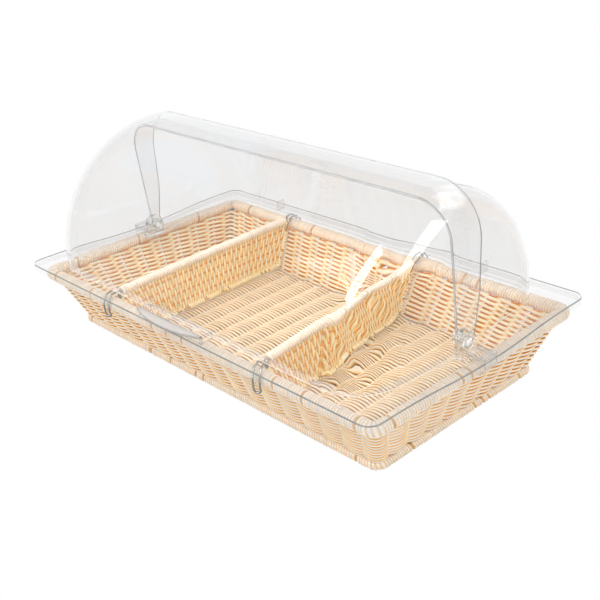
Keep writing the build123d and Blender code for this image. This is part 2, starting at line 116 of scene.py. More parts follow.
STOP_HALF_T = 1.5 * MM
STOP_TOP_Z = 94.8 * MM
CHANNEL_LENGTH = 21.5 * MM  # channel over the flange at each pivot, in from the frame's edge
CHANNEL_HALF_Y = 9.0 * MM
CHANNEL_RISE = 5.5 * MM
CHANNEL_PROUD = 1.5 * MM    # its end past the frame's edge
CHANNEL_DROP = 11 * MM      # and down over it
SIDE_TAB = (15 * MM, 67 * MM)   # half length and foot of the lip's tab under it
SEAM = 0.04 * MM            # between the plates of one fitting

# ---- camera ----
CAMERA_AZIMUTH = 48.58      # degrees to the right of the front
CAMERA_ELEVATION = 28.35
CAMERA_ROLL = -4.3
CAMERA_DISTANCE = 1.0768
FOCAL_PX = 956.4            # on a picture 600 pixels wide
CENTRE_PX = (290.87, 343.64)
PICTURE_PX = 600


# ---------------------------------------------------------------- mesh helpers
class Mesh:
    """Collects vertices, faces, a painted light value and a random tone per vertex, then makes
    a single object.
    """

    def __init__(self):
        self.points, self.faces, self.depth, self.tone = [], [], [], []
        self.count = 0

    def grid(self, points, depth, tone, closed):
        """Adds a tube of points [along, round], joined end to end if closed and else capped."""
        nu, nv = points.shape[:2]
        index = np.arange(nu * nv).reshape(nu, nv) + self.count
        rows = index if closed else index[:-1]
        following = np.roll(index, -1, axis=0) if closed else index[1:]
        corners = [rows, following, np.roll(following, -1, 1), np.roll(rows, -1, 1)]
        self.faces.extend(np.stack(corners, -1).reshape(-1, 4).tolist())
        if not closed:
            self.faces.append(index[0].tolist())
            self.faces.append(index[-1][::-1].tolist())
        self.points.append(points.reshape(-1, 3))
        self.depth.append(np.broadcast_to(depth, (nu, nv)).reshape(-1))
        self.tone.append(np.broadcast_to(tone, (nu, nv)).reshape(-1))
        self.count += nu * nv

    def build(self, name, material):
        mesh = bpy.data.meshes.new(name)
        points = np.concatenate(self.points)
        mesh.from_pydata(points.tolist(), [], self.faces)
        for key, values in (("depth", self.depth), ("tone", self.tone)):
            layer = mesh.attributes.new(key, "FLOAT", "POINT")
            layer.data.foreach_set("value", np.concatenate(values).astype(np.float32))
        mesh.polygons.foreach_set("use_smooth", [True] * len(mesh.polygons))
        mesh.materials.append(material)
        mesh.update()
        item = bpy.data.objects.new(name, mesh)
        bpy.context.scene.collection.objects.link(item)
        return item


def unit(vectors):
    return vectors / np.linalg.norm(vectors, axis=-1, keepdims=True)


def tangents(path, closed):
    if closed:
        return unit(np.roll(path, -1, 0) - np.roll(path, 1, 0))
    return unit(np.gradient(path, axis=0))


def sweep(mesh, path, side, radius, sides, closed, tone, depth, width=1.0):
    """Bar along a path. side is roughly across it, one vector or one per point, and width is
    its size square to that over its size along it. The second to last argument is a function of
    the points that gives each vertex's painted light: painted shade where the reed lies deep in
    the weave."""
    along = tangents(path, closed)
    side = np.broadcast_to(side, path.shape)
    up = unit(np.cross(side, along))
    side = np.cross(along, up)
    angle = np.arange(sides) * 2 * math.pi / sides
    ring = side[:, None] * np.cos(angle)[:, None] + up[:, None] * np.sin(angle)[:, None] * width
    points = path[:, None] + ring * radius
    mesh.grid(points, depth(points), tone, closed)


def ramp(value, low, high):
    """Smooth step from 0 at low to 1 at high."""
    t = np.clip((value - low) / (high - low), 0, 1)
    return t * t * (3 - 2 * t)


def facing(offset, push, reach, radius):
    """Painted light of a reed: 1 on the side that faces out of the weave, 0 for painted shade on
    the side turned into it.
    """
    turn = (offset - push) / radius
    lead = np.clip(push / reach, -1, 1)
    value = np.abs(turn) * (1 - np.abs(lead)) + turn * lead
    return ramp(value, -0.1, 0.95)


def upright(offset, push, reach, radius):
    """The same painted light and shade for the dividers' upright reeds, which stay in view along
    their whole height; the face of a reed pushed behind a rib gets more painted shade.
    """
    turn = (offset - push) / radius
    lead = np.clip(push / reach, -1, 1) * np.sign(turn)
    return ramp(np.abs(turn), 0.05, 0.85) * (0.76 + 0.24 * lead)


class Loop:
    """Rounded rectangle round the origin, walked anticlockwise from its front side's middle."""

    def __init__(self, half_x, half_y, corner_r):
        self.half_x, self.half_y, self.r = half_x, half_y, corner_r
        straight_x, straight_y = half_x - corner_r, half_y - corner_r
        arc = corner_r * math.pi / 2
        self.lengths = [straight_x, arc, 2 * straight_y, arc, 2 * straight_x, arc,
                        2 * straight_y, arc, straight_x]
        self.starts = np.concatenate([[0], np.cumsum(self.lengths)])
        self.total = self.starts[-1]

    def at(self, distance):
        """Plan points and outward directions at distances along the loop."""
        s = np.mod(distance, self.total)
        piece = np.clip(np.searchsorted(self.starts, s, side="right") - 1, 0, 8)
        t = s - self.starts[piece]
        cx, cy, r = self.half_x - self.r, self.half_y - self.r, self.r
        corner = [(cx, -cy), (cx, cy), (-cx, cy), (-cx, -cy)]
        points, out = np.zeros((len(s), 2)), np.zeros((len(s), 2))
        sides = {0: ((0, -self.half_y), (1, 0), (0, -1)),
                 2: ((self.half_x, -cy), (0, 1), (1, 0)),
                 4: ((cx, self.half_y), (-1, 0), (0, 1)),
                 6: ((-self.half_x, cy), (0, -1), (-1, 0)),
                 8: ((-cx, -self.half_y), (1, 0), (0, -1))}
        for k, (start, way, normal) in sides.items():
            m = piece == k
            points[m] = np.array(start) + t[m, None] * np.array(way)
            out[m] = normal
        for k in (1, 3, 5, 7):
            m = piece == k
            turn = t[m] / r - math.pi / 2 + (k // 2) * math.pi / 2
            out[m] = np.stack([np.cos(turn), np.sin(turn)], -1)
            points[m] = np.array(corner[k // 2]) + r * out[m]
        return points, out

    def corner_middles(self):
        return [self.starts[k] + self.lengths[k] / 2 for k in (1, 3, 5, 7)]


# ---------------------------------------------------------------- materials
def node_material(name):
    material = bpy.data.materials.new(name)
    material.use_nodes = True
    tree = material.node_tree
    tree.nodes.clear()
    output = tree.nodes.new("ShaderNodeOutputMaterial")
    return material, tree, output


def add(tree, kind, **inputs):
    node = tree.nodes.new(kind)
    for key, value in inputs.items():
        node.inputs[key.replace("_", " ")].default_value = value
    return node


def colour_ramp(tree, stops):
    node = tree.nodes.new("ShaderNodeValToRGB")
    elements = node.color_ramp.elements
    elements[0].position, elements[0].color = stops[0][0], (*stops[0][1], 1)
    elements[1].position, elements[1].color = stops[-1][0], (*stops[-1][1], 1)
    for place, colour in stops[1:-1]:
        element = elements.new(place)
        element.color = (*colour, 1)
    return node


def scaled(tree, value, factor, offset):
    """Node that gives value * factor + offset."""
    node = add(tree, "ShaderNodeMath")
    node.operation = "MULTIPLY_ADD"
    node.inputs[1].default_value = factor
    node.inputs[2].default_value = offset
    tree.links.new(value, node.inputs[0])
    return node


def linear(hex_colour):
    """Linear RGB of a written sRGB colour."""
    values = [int(hex_colour[i:i + 2], 16) / 255 for i in (0, 2, 4)]
    return tuple(v / 12.92 if v <= 0.04045 else ((v + 0.055) / 1.055) ** 2.4 for v in values)


def reed_material(name, deep_shade, middle, crest, darkest_shade):
    """Pale reed with painted shade: warm and darker where it dips into the weave, with a fine
    grain.
    The four colours are those of ever deeper spots, from the crest's own pale colour to the
    darkest painted shade."""
    material, tree, output = node_material(name)
    link = tree.links.new
    depth = add(tree, "ShaderNodeAttribute")
    depth.attribute_name = "depth"
    tone = add(tree, "ShaderNodeAttribute")
    tone.attribute_name = "tone"
    place = add(tree, "ShaderNodeTexCoord")
    broad = add(tree, "ShaderNodeTexNoise", Scale=38.0, Detail=3.0, Roughness=0.6)
    fine = add(tree, "ShaderNodeTexNoise", Scale=900.0, Detail=2.0, Roughness=0.6)
    link(place.outputs["Object"], broad.inputs["Vector"])
    link(place.outputs["Object"], fine.inputs["Vector"])
    shades = colour_ramp(tree, [(0.0, linear(darkest_shade)), (0.22, linear(deep_shade)),
                                (0.58, linear(middle)), (1.0, linear(crest))])
    wander = scaled(tree, broad.outputs["Fac"], 0.16, -0.08)
    total = add(tree, "ShaderNodeMath")
    total.operation = "ADD"
    link(depth.outputs["Fac"], total.inputs[0])
    link(wander.outputs[0], total.inputs[1])
    link(total.outputs[0], shades.inputs["Fac"])
    value = add(tree, "ShaderNodeHueSaturation")
    lift = scaled(tree, tone.outputs["Fac"], 0.10, 0.95)
    link(lift.outputs[0], value.inputs["Value"])
    link(shades.outputs["Color"], value.inputs["Color"])
    bump = add(tree, "ShaderNodeBump", Strength=0.18, Distance=0.0002)
    link(fine.outputs["Fac"], bump.inputs["Height"])
    shader = add(tree, "ShaderNodeBsdfPrincipled", Roughness=0.42)
    shader.inputs["Specular IOR Level"].default_value = 0.42
    link(value.outputs["Color"], shader.inputs["Base Color"])
    link(bump.outputs["Normal"], shader.inputs["Normal"])
    link(shader.outputs[0], output.inputs["Surface"])
    return material


def metal_material(name, colour, rough):
    """Drawn wire with a faint mottle."""
    material, tree, output = node_material(name)
    link = tree.links.new
    place = add(tree, "ShaderNodeTexCoord")
    noise = add(tree, "ShaderNodeTexNoise", Scale=420.0, Detail=3.0)
    link(place.outputs["Object"], noise.inputs["Vector"])
    shades = colour_ramp(tree, [(0.3, tuple(0.82 * c for c in colour)), (0.7, colour)])
    link(noise.outputs["Fac"], shades.inputs["Fac"])
    shader = add(tree, "ShaderNodeBsdfPrincipled", Metallic=1.0, Roughness=rough)
    link(shades.outputs["Color"], shader.inputs["Base Color"])
    link(shader.outputs[0], output.inputs["Surface"])
    return material


def clear_material(name, tint, rough):
    """Clear moulded sheet: it refracts, and shadow rays lose a third of their light in it."""
    material, tree, output = node_material(name)
    link = tree.links.new
    shader = add(tree, "ShaderNodeBsdfPrincipled", Roughness=rough, IOR=1.49)
    shader.inputs["Transmission Weight"].default_value = 1.0
    shader.inputs["Base Color"].default_value = (*tint, 1)
    through = add(tree, "ShaderNodeBsdfTransparent", Color=(0.67, 0.67, 0.67, 1))
    path = add(tree, "ShaderNodeLightPath")
    mix = add(tree, "ShaderNodeMixShader")
    link(path.outputs["Is Shadow Ray"], mix.inputs[0])
    link(shader.outputs[0], mix.inputs[1])
    link(through.outputs[0], mix.inputs[2])
    link(mix.outputs[0], output.inputs["Surface"])
    return material


def pane_material(name, colour, cover):
    """Clear sheet too thin to bend what is behind it: cover is how much of that one face hides."""
    material, tree, output = node_material(name)
    shader = add(tree, "ShaderNodeBsdfPrincipled", Roughness=0.08, Alpha=cover)
    shader.inputs["Base Color"].default_value = (*colour, 1)
    tree.links.new(shader.outputs[0], output.inputs["Surface"])
    return material


def edge_material(name, colour, cover):
    """Edge of the clear sheet, painted grey for the shade that refraction shows along a clear edge;
    cover is how much it hides of what is behind.
    """
    material, tree, output = node_material(name)
    place = add(tree, "ShaderNodeTexCoord")
    noise = add(tree, "ShaderNodeTexNoise", Scale=60.0, Detail=2.0)
    tree.links.new(place.outputs["Object"], noise.inputs["Vector"])
    shades = colour_ramp(tree, [(0.3, tuple(0.85 * c for c in colour)),
                                (0.7, tuple(1.15 * c for c in colour))])
    tree.links.new(noise.outputs["Fac"], shades.inputs["Fac"])
    shader = add(tree, "ShaderNodeBsdfPrincipled", Roughness=0.3, Alpha=cover)
    tree.links.new(shades.outputs["Color"], shader.inputs["Base Color"])
    tree.links.new(shader.outputs[0], output.inputs["Surface"])
    return material


# Reed ramps from the crest's own colour to painted shade deep in the weave
wall_reed = reed_material("wall_reed", "FFB238", "FFD880", "FFF8EC", "F49C1C")
# darker, warmer copy of the wall reed: painted shade on the walls' inner sides
shaded_inner_reed = reed_material("shaded_inner_reed", "FCAE2E", "FDD474", "FDF2D6", "F2981A")
# floor reed darker than the walls': painted shade under the cover
shaded_floor_reed = reed_material("shaded_floor_reed", "EAAE44", "EFCC82", "F3EAD6", "C28A30")
divider_reed = reed_material("divider_reed", "F8C252", "FEDF8C", "FDF9DE", "E9A632")
binding_reed = reed_material("binding_reed", "ECBC7C", "FAE2C0", "FFF8EE", "B88848")
# stakes deep orange: painted shade, as they lie deep in the weave; the CAD stakes have no painted
# light values and take this ramp's dark end
stake_reed = reed_material("stake_reed", "FFAA36", "FFB23E", "FFBA4A", "F0A02E")
wire_metal = metal_material("wire_metal", (0.30, 0.29, 0.28), 0.35)
hook_metal = metal_material("hook_metal", (0.32, 0.31, 0.30), 0.25)
clear_sheet = clear_material("clear_sheet", (0.922, 0.928, 0.935), 0.0)
frame_pane = pane_material("frame_pane", (0.86, 0.865, 0.89), 0.12)
wall_pane = pane_material("wall_pane", (0.86, 0.865, 0.89), 0.07)
pull_pane = pane_material("pull_pane", (0.92, 0.905, 0.93), 0.34)
# Painted shade on the clear sheets' edges: dark and pale grey along the edges, a warm grey along
# the shells' feet
grey_edge = edge_material("grey_edge", (0.30, 0.31, 0.31), 0.5)
clear_edge = edge_material("clear_edge", (0.13, 0.14, 0.145), 1.0)
pale_edge = edge_material("pale_edge", (0.55, 0.56, 0.57), 1.0)
foot_edge = edge_material("foot_edge", (0.80, 0.72, 0.62), 1.0)
frame_edge = edge_material("frame_edge", (0.27, 0.29, 0.285), 0.9)
clear_fitting = clear_material("clear_fitting", (0.97, 0.98, 0.98), 0.02)


# ---------------------------------------------------------------- basket
def ring_of(node):
    """Corners and middle of a bound ring's CAD box."""
    low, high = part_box(node)
    middle = (low + high) / 2
    return low, high, middle


rim_low, rim_high, rim_middle = ring_of("rim_binding")
rim_radius = (rim_high.z - rim_low.z) / 2
rim_z = rim_middle.z
rim_half = (rim_high.x - rim_middle.x - rim_radius, rim_high.y - rim_middle.y - rim_radius)
_, base_high, base_middle = ring_of("base_ring_binding")
base_z = base_high.z - BASE_RADIUS
base_half = (base_high.x - base_middle.x - BASE_RADIUS, base_high.y - base_middle.y - BASE_RADIUS)
basket_y = rim_middle.y
wall_slope = [(a - b) / (rim_z - base_z) for a, b in zip(rim_half, base_half)]


def wall_half(z):
    """Half sizes of the walls' middle surface at height z."""
    return [b - WALL_INSET + k * (z - base_z) for b, k in zip(base_half, wall_slope)]


def stations(loop, half_x, half_y):
    """Distances of every rib and corner post along a loop, in rising order."""
    share_long = (2 * (np.arange(LONG_STAKES) + 1) / (LONG_STAKES + 1) - 1) * half_x
    share_short = (2 * (np.arange(SHORT_STAKES) + 1) / (SHORT_STAKES + 1) - 1) * half_y
    front = share_long
    right = loop.starts[2] + (share_short + half_y - loop.r)
    back = loop.starts[4] + (share_long + half_x - loop.r)
    left = loop.starts[6] + (share_short + half_y - loop.r)
    ribs = [np.mod(front, loop.total), right, back, left]
    return np.sort(np.concatenate(ribs + [loop.corner_middles()]))


def wall_row(mesh, z, rng):
    """One twined row: two reeds that cross between the ribs, one in front of each rib."""
    half_x, half_y = wall_half(z)
    loop = Loop(half_x, half_y, WALL_CORNER_R)
    marks = stations(loop, half_x, half_y)
    count = len(marks)
    u = np.arange(count * WALL_STEPS) / WALL_STEPS
    ext = np.concatenate([marks, [marks[0] + loop.total]])
    distance = np.interp(u, np.arange(count + 1), ext)
    plan, out = loop.at(distance)
    lean = np.arctan(np.abs(out[:, 0]) * wall_slope[0] + np.abs(out[:, 1]) * wall_slope[1])[:, None]
    out3 = np.concatenate([out * np.cos(lean), -np.sin(lean)], 1)
    up3 = np.concatenate([out * np.sin(lean), np.cos(lean)], 1)
    middle = np.concatenate([plan, np.full((len(plan), 1), z)], 1)
    middle[:, 1] += basket_y
    reach = (RIB_D + REED_D) / 2
    for ply in (0, 1):
        phase = math.pi * (u + ply)
        wander = ROW_WANDER * np.sin(u * 0.7 + rng.uniform(0, 6.28)) * rng.uniform(0.3, 1)
        rise = -ROW_PITCH / 4 * np.sin(phase) + wander
        push = reach * np.cos(phase)
        path = middle + out3 * push[:, None] + up3 * rise[:, None]

        # painted shade on the side of each reed that turns into the weave
        def depth(points):
            off = ((points - middle[:, None]) * out3[:, None]).sum(-1)
            return facing(off, push[:, None], reach, REED_D / 2)

        radius = REED_D / 2 * rng.uniform(0.97, 1.03)
        sweep(mesh, path, out3, radius, 10, True, rng.uniform(0, 1), depth, REED_WIDTH)


def shade_inside(item, material):
    """Gives the sides of the strands that face the middle of the basket a darker, warmer copy of
    the reed: painted shade on the walls' inner sides.
    """
    faces = item.data.polygons
    centre, normal = np.empty(3 * len(faces)), np.empty(3 * len(faces))
    faces.foreach_get("center", centre)
    faces.foreach_get("normal", normal)
    spot = centre.reshape(-1, 3)[:, :2] - [0, basket_y]
    past = np.abs(spot) - base_half
    along_x = past[:, 0] > past[:, 1]
    out = np.where(along_x[:, None], [1, 0], [0, 1]) * np.sign(spot)
    inside = (normal.reshape(-1, 3)[:, :2] * out).sum(1) < 0
    item.data.materials.append(material)
    faces.foreach_set("material_index", inside.astype(np.int32))


def build_walls():
    rng = np.random.default_rng(11)
    mesh = Mesh()
    low = base_high.z + REED_D * 0.75
    for k in range(WALL_ROWS):
        wall_row(mesh, low + k * ROW_PITCH, rng)
    item = mesh.build("wall_weave", wall_reed)
    shade_inside(item, shaded_inner_reed)
    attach(item, "basket")
    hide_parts("front_wall_weave", "back_wall_weave", "left_wall_weave", "right_wall_weave")


def wound_ring(mesh, half, z, radius, rng, gaps, foot=None):
    """Binding wound round a ring wire, with gaps turns sunk to the wire and flat below foot."""
    loop = Loop(half[0], half[1], RING_CORNER_R)
    turns = round(loop.total / WRAP_PITCH)
    u = np.arange(turns * WRAP_STEPS) / WRAP_STEPS
    distance = u * loop.total / turns
    plan, out = loop.at(distance)
    middle = np.concatenate([plan, np.full((len(plan), 1), z)], 1)
    middle[:, 1] += basket_y
    out3 = np.concatenate([out, np.zeros((len(out), 1))], 1)
    angle = np.arange(20) * 2 * math.pi / 20
    lean = 0.35 * np.sin(angle)[None, :] + 0.25
    swell = np.abs(np.sin(math.pi * (u[:, None] + lean)))
    turn = np.floor(u[:, None] + lean).astype(int) % turns
    size = rng.uniform(0.94, 1.0, turns)[turn]
    hole = np.zeros(turns)
    hole[rng.choice(turns, gaps, replace=False)] = 1
    drop = hole[turn] * ramp(swell, 0.2, 0.9)
    crest = swell ** 0.8
    r = radius * size - WRAP_GROOVE * (1 - crest) - drop * radius * RING_GAP_SINK
    angle = angle[None, :, None]
    ring = out3[:, None] * np.cos(angle) + np.array([0, 0, 1.0]) * np.sin(angle)
    points = middle[:, None] + ring * r[..., None]
    if foot is not None:
        points[..., 2] = np.maximum(points[..., 2], foot)
    # painted shade in the grooves between turns and on the turns sunk to the wire
    depth = np.clip(0.10 + 0.90 * crest - 0.85 * drop, 0, 1)
    mesh.grid(points, depth, rng.uniform(0, 1, turns)[turn], True)


def build_bindings():
    rng = np.random.default_rng(5)
    rim = Mesh()
    wound_ring(rim, rim_half, rim_z, rim_radius, rng, RIM_GAPS)
    item = rim.build("rim_reed", binding_reed)
    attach(item, "basket")
    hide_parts("rim_binding")
    base = Mesh()
    wound_ring(base, base_half, base_z, BASE_RADIUS, rng, BASE_GAPS, foot=0.0)
    item = base.build("base_reed", binding_reed)
    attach(item, "basket")
    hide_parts("base_ring_binding")


def build_floor():
    """Twined rows across the floor's ribs, from the front wall to the back wall."""
    rng = np.random.default_rng(23)
    mesh = Mesh()
    low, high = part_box("floor_weave")
    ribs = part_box("floor_stakes")
    z = (ribs[0].z + ribs[1].z) / 2
    first = ribs[0].x + RIB_D / 2
    pitch = (ribs[1].x - ribs[0].x - RIB_D) / (LONG_STAKES - 1)
    reach = (high.z - low.z - FLOOR_REED_D) / 2 * 0.92
    start, end = low.x + FLOOR_MARGIN, high.x - FLOOR_MARGIN
    x = np.linspace(start, end, int((end - start) / FLOOR_STEP))
    u = (x - first) / pitch
    rows = int((high.y - low.y - 2 * FLOOR_REED_D) / FLOOR_ROW_PITCH)
    y0 = (low.y + high.y) / 2 - (rows - 1) / 2 * FLOOR_ROW_PITCH
    out3 = np.tile([0, 0, 1.0], (len(x), 1))
    for k in range(rows):
        for ply in (0, 1):
            phase = math.pi * (u + ply)
            sway = FLOOR_ROW_PITCH / 4 * np.sin(phase)
            sway += FLOOR_WANDER * np.sin(u * 0.6 + rng.uniform(0, 6.28))
            push = reach * np.cos(phase)
            path = np.stack([x, y0 + k * FLOOR_ROW_PITCH + sway, z + push], 1)

            # painted shade on the side of each reed that turns into the floor's weave
            def depth(points):
                return facing(points[..., 2] - z, push[:, None], reach, FLOOR_REED_D / 2)

            sweep(mesh, path, out3, FLOOR_REED_D / 2, 8, False, rng.uniform(0, 1), depth)
    item = mesh.build("floor_reed_rows", shaded_floor_reed)
    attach(item, "basket")
    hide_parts("floor_weave")


# ---------------------------------------------------------------- dividers
def cad_points(node):
    return np.array([v.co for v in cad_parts[node].data.vertices], float)


def divider_axes(points):
    """Middle and plan direction (front to back) of a divider, from its rail binding's vertices."""
    middle = (points.max(0) + points.min(0)) / 2
    plan = points[:, :2] - points[:, :2].mean(0)
    way = np.linalg.svd(plan, full_matrices=False)[2][0]
    way = way if way[1] > 0 else -way
    return middle, np.array([way[0], way[1], 0.0])


def wound_bar(mesh, start, end, radius, rng, gaps=0, across=(0, 0, 1.0)):
    """Straight bar wound with reed, with gaps turns sunk to the wire."""
    start, end = np.array(start), np.array(end)
    length = np.linalg.norm(end - start)
    turns = round(length / WRAP_PITCH)
    u = np.arange(turns * WRAP_STEPS + 1) / WRAP_STEPS
    along = (end - start) / length
    side = unit(np.cross(along, np.array(across)))
    up = np.cross(side, along)
    angle = np.arange(16) * 2 * math.pi / 16
    lean = 0.3 * np.sin(angle)[None, :]
    swell = np.abs(np.sin(math.pi * (u[:, None] + lean)))
    turn = np.clip(np.floor(u[:, None] + lean), 0, turns - 1).astype(int)
    hole = np.zeros(turns)
    if gaps:
        hole[rng.choice(turns, gaps, replace=False)] = 1
    drop = hole[turn] * ramp(swell, 0.2, 0.9)
    crest = swell ** 0.8
    r = radius * rng.uniform(0.95, 1.0, turns)[turn] - WRAP_GROOVE * (1 - crest)
    r -= drop * radius * BAR_GAP_SINK
    ring = side * np.cos(angle)[:, None] + up * np.sin(angle)[:, None]
    points = start + along * (u * length / turns)[:, None, None] + ring[None] * r[..., None]
    # painted shade in the grooves between turns and on the turns sunk to the wire
    depth = np.clip(0.10 + 0.90 * crest - 0.85 * drop, 0, 1)
    mesh.grid(points, depth, rng.uniform(0, 1, turns)[turn], False)


def build_divider(side, seed):
    """Wound rail, and a panel of upright reeds on level ribs inside a wound frame."""
    rng = np.random.default_rng(seed)
    body = side + "_divider"
    rail_points = cad_points(body + "_rail_binding")
    middle, way = divider_axes(rail_points)
    normal = np.array([way[1], -way[0], 0.0])
    points = cad_points(body + "_weave")
    local = (points - middle) @ way
    foot_z, rail_z = points[:, 2].min(), middle[2]
    half_t = (((points - middle) @ normal).max() - ((points - middle) @ normal).min()) / 2
    foot_half = local[points[:, 2] < foot_z + 1 * MM].max()
    head_z = points[np.argmax(local)][2]
    head_half = local.max()
    rail_half = ((rail_points - middle) @ way).max()
    rail_radius = (rail_points[:, 2].max() - rail_points[:, 2].min()) / 2

    rail = Mesh()
    wound_bar(rail, middle - way * rail_half, middle + way * rail_half, rail_radius, rng)
    item = rail.build(body + "_rail_reed", binding_reed)
    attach(item, body)
    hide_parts(body + "_rail_binding")

    panel = Mesh()
    edge_r = half_t * 0.92
    slope = (head_half - foot_half) / (head_z - foot_z)

    def half_at(z):
        return foot_half + slope * (z - foot_z) - edge_r

    wire_z = foot_z + half_t
    rib_pitch = (rail_z - wire_z) / (DIVIDER_RIBS + 1)
    reach = (half_t - DIVIDER_REED_D / 2) * STRAND_SWING
    z = np.linspace(wire_z, rail_z, STRAND_POINTS)
    u = (z - wire_z) / rib_pitch - 1
    plan = middle * np.array([1, 1, 0])
    count = int(2 * (half_at(wire_z) + edge_r * 0.5) / STRAND_PITCH)
    for k in range(count):
        share = 2 * (k + 0.5) / count - 1
        across = share * (foot_half - edge_r + slope * (z - foot_z) * np.abs(share))
        phase = math.pi * (u + k)
        push = reach * np.cos(phase) * ramp(z, wire_z - 6 * MM, wire_z + 4 * MM)
        path = plan + way * across[:, None] + normal * push[:, None]
        path[:, 2] = z
        jitter = STRAND_JITTER * rng.normal(size=2)
        path = path + way * (jitter[0] + jitter[1] * np.sin(u))[:, None]

        # painted shade on the reeds' sides and where they pass behind a rib
        def depth(spots):
            off = ((spots - middle) * normal).sum(-1)
            return upright(off, push[:, None], reach, DIVIDER_REED_D / 2)

        sweep(panel, path, normal, DIVIDER_REED_D / 2, 8, False, rng.uniform(0, 1), depth)
    feet = [plan + way * sign * half_at(wire_z) + np.array([0, 0, wire_z]) for sign in (-1, 1)]
    for sign, foot in zip((-1, 1), feet):
        head = plan + way * sign * half_at(head_z) + np.array([0, 0, head_z - 1 * MM])
        wound_bar(panel, foot, head, edge_r, rng, gaps=PANEL_SIDE_GAPS, across=normal)
    wound_bar(panel, feet[0], feet[1], edge_r, rng, gaps=PANEL_FOOT_GAPS)
    item = panel.build(body + "_panel_reed", divider_reed)
    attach(item, body)
    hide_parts(body + "_weave")


# ---------------------------------------------------------------- clear cover
def flange_level(y):
    """Flange's underside at y from the basket's middle: it dips to the pivots in two arcs."""
    y = np.abs(y)
    half, drop = OPENING_HALF_Y, FLANGE_Z - SIDE_FLANGE_Z
    bend = (half ** 2 + drop ** 2) / 4 / drop
    outer = FLANGE_Z - (bend - np.sqrt(np.maximum(bend ** 2 - (y - half) ** 2, 0)))
    inner = SIDE_FLANGE_Z + (bend - np.sqrt(np.maximum(bend ** 2 - y ** 2, 0)))
    return np.where(y >= half, FLANGE_Z, np.where(y > half / 2, outer, inner))


def shell_foot(y):
    return flange_level(y) + SHEET_T + FOOT_GAP


def along_outline(points, count):
    """Evenly spaced points along a polyline."""
    points = np.array(points)
    steps = np.concatenate([[0], np.cumsum(np.linalg.norm(np.diff(points, axis=0), axis=1))])
    places = np.linspace(0, steps[-1], count)
    return np.stack([np.interp(places, steps, points[:, k]) for k in (0, 1)], 1)


def shell_skin(half_x, radius, corner_r, way, edge, walls):
    """One skin of a half-round shell as a grid [across, round]. way is -1 for the front shell and
    1 for the rear one, edge(r) is the angle of its far edge past upright at radius r, and walls
    is the outline of the end walls' inner edge."""
    rounds, wall_steps, corner_steps, barrel_steps = 110, 8, 15, 42
    share = np.linspace(0, 1, rounds)
    flat_r = radius - corner_r

    def arc(r):
        first = math.asin((shell_foot(r) - PIVOT_Z + EDGE_ROUND) / r)
        last = math.pi / 2 + edge(r)
        turn = first + share * (last - EDGE_ROUND / r - first)
        return np.stack([way * r * np.cos(turn), PIVOT_Z + r * np.sin(turn)], 1)

    rows, inner = [], along_outline(walls, rounds)
    rim = arc(flat_r)
    inner_x = half_x - corner_r
    for t in np.linspace(0, 1, wall_steps + 1)[:-1]:
        rows.append((half_x, inner + (rim - inner) * t))
    for a in np.linspace(0, math.pi / 2, corner_steps):
        rows.append((inner_x + corner_r * math.cos(a), arc(flat_r + corner_r * math.sin(a))))
    top = arc(radius)
    ends = [np.concatenate([np.full((rounds, 1), x), yz], 1) for x, yz in rows]
    barrel = [np.concatenate([np.full((rounds, 1), x), top], 1)
              for x in np.linspace(inner_x, -inner_x, barrel_steps)[1:-1]]
    mirror = np.array([-1, 1, 1])
    return np.stack(ends + barrel + [e * mirror for e in reversed(ends)])


def mesh_object(name, points, faces, materials, choice):
    """Smooth object; choice is each face's place in the list of materials."""
    mesh = bpy.data.meshes.new(name)
    mesh.from_pydata([tuple(p) for p in points], [], faces)
    for material in materials:
        mesh.materials.append(material)
    mesh.polygons.foreach_set("material_index", np.asarray(choice, dtype=np.int32))
    mesh.polygons.foreach_set("use_smooth", [True] * len(mesh.polygons))
    solid = bmesh.new()
    solid.from_mesh(mesh)
    bmesh.ops.remove_doubles(solid, verts=solid.verts[:], dist=0.00001 * MM)
    bmesh.ops.recalc_face_normals(solid, faces=solid.faces[:])
    solid.to_mesh(mesh)
    solid.free()
    mesh.set_sharp_from_angle(angle=math.radians(12))
    item = bpy.data.objects.new(name, mesh)
    bpy.context.scene.collection.objects.link(item)
    return item


def moulding_dents(outer, half_x, corner_r, strength):
    """Waves pressed into the inner skin round the shell's right end, as (y, z) shifts."""
    x, y, z = outer[..., 0], outer[..., 1], outer[..., 2] - PIVOT_Z
    bend = np.arcsin(np.clip((x - half_x + corner_r) / corner_r, 0, 1))
    near_end = ramp(bend, 0.05, 0.5) * (1 - ramp(bend, 1.15, 1.5))
    near_end = near_end * (1 - ramp(z, 70 * MM, 125 * MM))
    swell = np.sin(z / (9.5 * MM) + 1.3) * np.sin((x - y) / (11 * MM))
    swell += 0.6 * np.sin((z + y) / (6.3 * MM) + x / (8 * MM))
    dent = 0.42 * MM * (near_end * strength) * (1.6 + swell)
    reach = np.sqrt(y ** 2 + z ** 2)
    return np.stack([np.zeros_like(x), y / reach * dent, z / reach * dent], -1)


